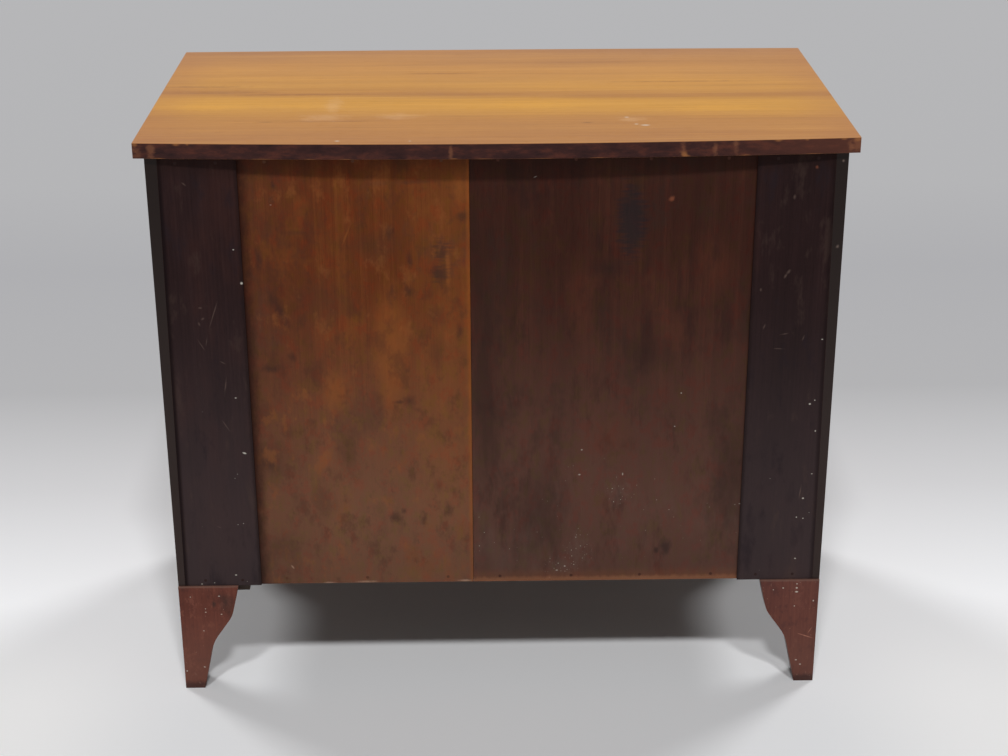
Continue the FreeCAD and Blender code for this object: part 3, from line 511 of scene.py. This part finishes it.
def stile_wood():
    """Nearly black stiles, greyer towards the foot, with scratches and flecks."""
    black = (tone(29, 19, 19), tone(44, 29, 29), tone(62, 43, 42))
    g = wood("stile_wood", Z, black, rings=0.06, streaks=0.35, bands=0.3, clouds=0.9, fibre=0.2, pores=0.2,
             rough=0.66, shine=0.04)
    x, z = g.part(X), g.part(Z)
    smoke = g.noise(g.mapped((26, 26, 10)), 4.0, 0.7)
    g.wash(g.cloud, 0.50, 0.66, 0.35, tone(64, 36, 30))
    g.wash(z, 0.74, 0.22, 0.62, tone(68, 58, 59))
    g.wash(smoke, 0.52, 0.70, 0.5, tone(37, 30, 35))
    g.wash(smoke, 0.44, 0.30, 0.3, tone(79, 62, 55))
    # Dirt along the seam to the case side, more on the left, and a dark line along the back boards that is
    # partly dirt and partly painted shade
    edge = g.maths("MULTIPLY_ADD", z, STILE_LEAN, g.magnitude(x))
    seam = g.span(edge, STILE_EDGE - 0.008, STILE_EDGE - 0.002)
    g.tint(g.times(seam, g.span(x, -0.1, 0.1, 0.55, 0.85)), tone(22, 13, 14))
    inner = g.magnitude(g.total(x, [(g.ragged, 0.004)]))
    g.wash(inner, STILE_INNER + 0.006, STILE_INNER + 0.001, 0.5, tone(27, 17, 16))
    # Painted shade under the overhang of the top
    shaded_under_top(g, z)
    g.marked(g.on_back(STILE_SCRATCHES), tone(116, 96, 87), 0.38, 1.2, 0.0)
    g.marked(g.on_back(STILE_ORANGE), tone(138, 80, 58), 0.5, 1.1, 0.1)
    g.marked(g.on_back(STILE_FLECKS), FLECK, 0.75, 1.0, 0.2)
    g.dusted(g.span(z, 0.55, 0.2, 0.0, 0.6), 0.006, FLECK, 240.0)
    return g.finished()


def light_board_wood():
    """Amber back board with stains, soft shades and chips."""
    amber = (tone(62, 30, 16), tone(101, 51, 25), tone(134, 77, 37))
    g = wood("light_board_wood", Z, amber, ring=0.02, rings=0.06, streaks=0.28, bands=0.22, clouds=0.7,
             fibre=0.2, pores=0.25, rough=0.62, shine=0.05)
    x, z = g.part(X), g.part(Z)
    mottle = g.noise(g.mapped((32, 32, 19)), 4.0, 0.65)
    blotch = g.noise(g.mapped((15, 15, 8), (4.1, 0.0, 2.7)), 4.0, 0.7)
    smudge = g.noise(g.mapped((62, 62, 52), (1.3, 0.0, 6.1)), 3.0, 0.7)
    hatch = g.noise(g.mapped((45, 45, 300)), 2.0, 0.6)
    hue = g.noise(g.mapped((55, 55, 40), (9.2, 0.0, 3.3)), 4.0, 0.7)
    # Paler towards the foot, darker towards the stile and warmer towards the dark board
    g.wash(z, 0.71, 0.26, 0.75, tone(122, 87, 68))
    g.wash(x, 0.20, 0.36, 0.3, tone(86, 53, 41))
    g.tint(g.times(g.span(x, 0.18, 0.06), g.span(z, 0.22, 0.42, 0.0, 0.32)), tone(136, 81, 41))
    g.wash(blotch, 0.52, 0.70, 0.45, tone(84, 58, 46))
    g.wash(blotch, 0.46, 0.30, 0.35, tone(131, 74, 34))
    mottled(g, hue)
    g.marked(g.on_back(LIGHT_GLOW), tone(150, 87, 41), 0.5, 2.2, 0.0, g.cloud)
    g.marked(g.on_back(LIGHT_SHADES), tone(68, 45, 36), 0.36, 3.2, 0.0, mottle)
    g.marked(g.on_back(LIGHT_STAINS), tone(50, 37, 34), 0.52, 1.1, 0.0)
    g.marked(g.on_back(LIGHT_HATCHED), tone(50, 40, 40), 0.55, 1.5, 0.1, hatch)
    g.wash(mottle, 0.50, 0.70, 0.38, tone(66, 43, 34))
    g.wash(mottle, 0.46, 0.30, 0.35, tone(146, 87, 46))
    g.wash(smudge, 0.56, 0.72, 0.20, tone(62, 43, 39))
    # Painted shade along the stile, which stands proud of the board, and a bright edge at the joint of the
    # boards
    g.wash(g.total(x, [(g.ragged, 0.012)]), STILE_INNER - 0.021, STILE_INNER, 0.8, tone(42, 22, 19))
    lip = g.total(x, [(g.ragged, 0.004)])
    g.wash(lip, BOARD_JOINT + 0.0075, BOARD_JOINT + 0.0025, 0.4, tone(152, 84, 36))
    # Painted shade under the overhang of the top
    shaded_under_top(g, z)
    soiled(g, z)
    g.marked(g.on_back(LIGHT_CHIPS), tone(164, 133, 113), 0.75, 1.2, 0.1)
    return g.finished()


def dark_board_wood():
    """Dark brown back board with knots, dust and flecks."""
    umber = (tone(40, 22, 18), tone(63, 35, 27), tone(91, 52, 38))
    g = wood("dark_board_wood", Z, umber, ring=0.02, rings=0.06, streaks=0.3, bands=0.25, clouds=0.55,
             fibre=0.2, pores=0.2, rough=0.62, shine=0.05, seed=2.0)
    z = g.part(Z)
    mottle = g.noise(g.mapped((30, 30, 9)), 4.0, 0.65)
    blotch = g.noise(g.mapped((13, 13, 8), (7.3, 0.0, 1.9)), 4.0, 0.7)
    hatch = g.noise(g.mapped((45, 45, 300)), 2.0, 0.6)
    hue = g.noise(g.mapped((60, 60, 40), (2.2, 0.0, 8.3)), 4.0, 0.7)
    g.wash(z, 0.74, 0.26, 0.75, tone(100, 70, 60))
    g.wash(blotch, 0.52, 0.70, 0.4, tone(50, 38, 33))
    g.wash(blotch, 0.46, 0.30, 0.25, tone(96, 53, 38))
    mottled(g, hue)
    g.marked(g.on_back(DARK_GLOW), tone(100, 54, 37), 0.28, 2.2, 0.0, g.cloud)
    g.marked(g.on_back(DARK_SHADES), tone(42, 31, 28), 0.5, 2.2, 0.0, mottle)
    g.wash(mottle, 0.52, 0.72, 0.45, tone(42, 28, 26))
    # Painted shade under the overhang of the top
    shaded_under_top(g, z)
    g.marked(g.on_back(KNOT_TOP), tone(34, 33, 36), 0.7, 1.1, 0.3, hatch)
    g.marked(g.on_back(KNOT_LOW), tone(38, 33, 33), 0.6, 1.2, 0.1)
    g.marked(g.on_back(DARK_ORANGE), tone(138, 80, 56), 0.65, 1.4, 0.1)
    # Dust on the lower part, thicker in a few places
    drift = g.span(g.noise(g.mapped((15, 15, 6)), 4.0, 0.7), 0.46, 0.70)
    dust = g.times(drift, g.span(z, 0.42, 0.26))
    g.tint(g.times(dust, 0.08), tone(130, 119, 111))
    g.dusted(dust, 0.05, FLECK, 260.0)
    thick = g.marked(g.on_back(DARK_DUST), tone(125, 110, 102), 0.12, 2.4, 0.0)
    g.dusted(thick, 0.35, FLECK, 300.0)
    soiled(g, z)
    g.marked(g.on_back(DARK_FLECKS), FLECK, 0.5, 1.2, 0.1)
    # A worn, lighter lower edge
    rise = g.total(z, [(g.ragged, 0.010)])
    g.wash(rise, CASE_FOOT + 0.025, CASE_FOOT + 0.006, 0.5, tone(110, 69, 49))
    bare = g.mix(g.cloud, tone(118, 71, 48), tone(163, 116, 86))
    g.wash(rise, CASE_FOOT + 0.010, CASE_FOOT + 0.003, 0.6, bare)
    return g.finished()


def foot_wood():
    """Red brown feet, with scratches and flecks on what faces the back."""
    russet = (tone(73, 32, 24), tone(100, 51, 38), tone(124, 70, 53))
    g = wood("foot_wood", Z, russet, rings=0.1, streaks=0.5, bands=0.3, clouds=0.9, fibre=0.2, pores=0.25,
             rough=0.42, shine=0.2)
    x, z = g.part(X), g.part(Z)
    rear = g.facing(Y)
    mottle = g.noise(g.mapped((70, 70, 45)), 4.0, 0.7)
    g.wash(mottle, 0.52, 0.68, 0.5, tone(62, 31, 26))
    g.wash(mottle, 0.46, 0.32, 0.4, tone(134, 80, 64))
    # The right feet are duller, the left ones redder low down, and all are paler towards the floor
    g.wash(x, -0.3, -0.4, 0.35, tone(84, 52, 50))
    g.tint(g.times(g.span(x, 0.3, 0.4), g.span(z, 0.15, 0.10, 0.0, 0.3)), tone(128, 76, 62))
    g.wash(z, 0.13, 0.03, 0.35, tone(116, 76, 63))
    g.marked(g.on_back(FOOT_STAIN), tone(54, 37, 31), 0.75, 1.4, 0.0)
    # Painted shade on the inner sides, a pale band under the case that is partly a rubbed arris and partly
    # a painted highlight, and dirt at the floor
    g.wash(g.times(x, g.part(X, g.normal)), -0.12, -0.25, 0.6, tone(50, 30, 31))
    arris = g.total(z, [(g.ragged, 0.003)])
    g.wash(arris, CASE_FOOT - 0.0035, CASE_FOOT - 0.001, 0.4, tone(128, 104, 92))
    g.wash(g.total(z, [(g.ragged, 0.01)]), 0.016, 0.006, 0.7, tone(52, 34, 32))
    g.dusted(rear, 0.02, tone(168, 140, 126), 420.0)
    worn = g.span(g.noise(g.mapped((90, 90, 60)), 4.0, 0.7), 0.58, 0.72)
    g.tint(g.times(worn, g.span(z, 0.05, 0.01, 0.0, 0.5)), tone(155, 120, 103))
    unmarked = g.colour
    g.marked(g.on_back(FOOT_SCRATCHES), tone(170, 113, 94), 0.85, 1.0, 0.3)
    g.marked(g.on_back(FOOT_FLECKS), FLECK, 0.85, 1.0, 0.3)
    g.colour = g.mix(rear, unmarked, g.colour)
    return g.finished()


def inner_wood():
    """Pale wood inside the case, darkened underneath as painted shade."""
    pale = (tone(120, 84, 50), tone(154, 114, 72), tone(178, 140, 96))
    g = wood("inner_wood", X, pale, rough=0.7, shine=0.3)
    g.tint(g.times(g.facing(Z, -1), 0.85), tone(52, 42, 40))
    return g.finished()


def front_wood():
    brown = (tone(82, 38, 20), tone(118, 62, 32), tone(146, 84, 46))
    return wood("front_wood", X, brown, rough=0.36).finished()


def drawer_front_wood():
    figured = (tone(92, 42, 20), tone(140, 76, 36), tone(172, 104, 54))
    return wood("drawer_front_wood", X, figured, rough=0.34, pith=(0.03, -0.35, -0.55)).finished()


def drawer_wood():
    pale = (tone(150, 112, 70), tone(186, 148, 100), tone(206, 172, 124))
    return wood("drawer_wood", Y, pale, rough=0.66).finished()


def block_wood():
    # Darker than the wood inside the case: painted shade on the glue blocks under the case
    dull = (tone(44, 32, 24), tone(66, 48, 36), tone(90, 66, 48))
    return wood("block_wood", X, dull, rough=0.75).finished()


def brass():
    g = Graph("brass")
    patina = g.noise(g.mapped((160, 160, 160)), 5.0, 0.65)
    scratch = g.noise(g.mapped((1500, 90, 300)), 2.0)
    tarnish = g.total(patina, [(scratch, 0.25)])
    yellows = [(0.25, tone(150, 112, 56)), (0.5, tone(190, 150, 78)), (0.75, tone(206, 168, 92))]
    g.colour = g.ramp(tarnish, yellows)
    g.rough = g.total(0.32, [(patina, -0.3), (scratch, 0.15)])
    g.shader.inputs["Metallic"].default_value = 1.0
    return g.finished()


def iron():
    """Rusty nails, with heads stained like the wood that they are in."""
    g = Graph("iron")
    rust = g.noise(g.mapped((240, 240, 240)), 4.0, 0.6)
    g.colour = g.ramp(rust, [(0.35, tone(46, 29, 22)), (0.65, tone(70, 42, 28))])
    x = g.part(X)
    on_light = g.span(x, BOARD_JOINT - 0.001, BOARD_JOINT + 0.001)
    on_stile = g.span(g.magnitude(x), STILE_INNER - 0.001, STILE_INNER + 0.001)
    stain = g.mix(on_light, tone(74, 46, 38), tone(92, 60, 44))
    stain = g.mix(on_stile, stain, tone(46, 33, 33))
    g.wash(g.part(Y), BACK_FACE - 0.04, BACK_FACE - 0.02, 0.85, stain)
    g.rough = g.total(0.8, [(rust, 0.3)])
    g.shader.inputs["Specular IOR Level"].default_value = 0.1
    return g.finished()


MAKERS = (
    top_wood, case_wood, stile_wood, light_board_wood, dark_board_wood, foot_wood, inner_wood, front_wood,
    drawer_front_wood, drawer_wood, block_wood, brass, iron,
)
MATERIALS = {make.__name__: make() for make in MAKERS}


def dress(name, node):
    """Gives a node the material of its slot and, without nail holes, small rounded edges."""
    slot = node.data.materials[0].name.split(".")[0]
    node.material_slots[0].material = MATERIALS[slot]
    if name in NAILED:
        return
    weld = node.modifiers.new("weld", "WELD")
    weld.merge_threshold = WELD_DISTANCE
    bevel = node.modifiers.new("bevel", "BEVEL")
    bevel.limit_method = "ANGLE"
    bevel.angle_limit = math.radians(EDGE_ANGLE)
    bevel.width = METAL_EDGE if slot in METALS else WOOD_EDGE
    bevel.segments = 2
    node.modifiers.new("normals", "WEIGHTED_NORMAL")


def link(thing):
    bpy.context.scene.collection.objects.link(thing)
    return thing


def add_camera():
    data = bpy.data.cameras.new("camera")
    data.sensor_width = CAMERA_SENSOR
    data.lens = CAMERA_LENS
    pitch, yaw, roll = (math.radians(v) for v in (CAMERA_PITCH, CAMERA_YAW, CAMERA_ROLL))
    ahead = Vector((math.sin(yaw) * math.cos(pitch), -math.cos(yaw) * math.cos(pitch), -math.sin(pitch)))
    level = ahead.cross(Vector((0, 0, 1))).normalized()
    above = level.cross(ahead)
    right = level * math.cos(roll) + above * math.sin(roll)
    up = above * math.cos(roll) - level * math.sin(roll)
    turn = Matrix((right, up, -ahead)).transposed().to_4x4()
    camera = link(bpy.data.objects.new("camera", data))
    camera.matrix_world = Matrix.Translation(CAMERA_PLACE) @ turn
    bpy.context.scene.camera = camera


def add_lamp(name, azimuth, elevation, breadth, level):
    data = bpy.data.lights.new(name, "SUN")
    data.angle = math.radians(breadth)
    data.energy = level * math.pi
    lamp = link(bpy.data.objects.new(name, data))
    turn, rise = math.radians(azimuth), math.radians(elevation)
    out = Vector((math.sin(turn) * math.cos(rise), math.cos(turn) * math.cos(rise), math.sin(rise)))
    lamp.location = out * LAMP_DISTANCE
    lamp.rotation_euler = out.to_track_quat("Z", "Y").to_euler()


def add_floor():
    g = Graph("floor_paper")
    depth = g.part(Y)
    g.colour = g.banded(depth, FLOOR_SHADE_BANDS)
    # Painted light on both sides towards the camera, and painted shade of one grey far away
    beside_lit = g.span(g.magnitude(g.part(X)), 0.45, 0.75)
    g.tint(g.times(beside_lit, g.span(depth, 0.0, 0.35, 0.0, 0.9)), FLOOR_PAINTED_LIGHT)
    away = g.add("ShaderNodeVectorMath", {0: g.place}, operation="LENGTH").outputs["Value"]
    g.tint(g.span(away, 2.8, 6.0), FLOOR_FAR_SHADE)
    g.rough = 0.9
    mesh = bpy.data.meshes.new("floor")
    corners = [(x * FLOOR_REACH, y * FLOOR_REACH, 0) for x, y in ((-1, -1), (1, -1), (1, 1), (-1, 1))]
    mesh.from_pydata(corners, [], [(0, 1, 2, 3)])
    mesh.materials.append(g.finished())
    link(bpy.data.objects.new("floor", mesh))


def add_world():
    """A white world, brighter where the camera sees it or a surface mirrors it than as a light."""
    world = bpy.data.worlds.new("studio")
    bpy.context.scene.world = world
    world.use_nodes = True
    tree = world.node_tree
    back = tree.nodes["Background"]
    back.inputs["Color"].default_value = (1, 1, 1, 1)
    path = tree.nodes.new("ShaderNodeLightPath")
    seen = path.outputs["Is Camera Ray"]
    for ray in ("Is Glossy Ray", "Is Transmission Ray"):
        either = tree.nodes.new("ShaderNodeMath")
        either.operation = "MAXIMUM"
        tree.links.new(seen, either.inputs[0])
        tree.links.new(path.outputs[ray], either.inputs[1])
        seen = either.outputs[0]
    strength = tree.nodes.new("ShaderNodeMapRange")
    strength.inputs["To Min"].default_value = WORLD_LIGHT
    strength.inputs["To Max"].default_value = WORLD_SEEN
    tree.links.new(seen, strength.inputs["Value"])
    tree.links.new(strength.outputs[0], back.inputs["Strength"])


for name, node in frame["nodes"].items():
    dress(name, node)
add_camera()
add_floor()
add_world()
for lamp in LAMPS:
    add_lamp(*lamp)
bpy.context.scene.view_settings.view_transform = "Standard"
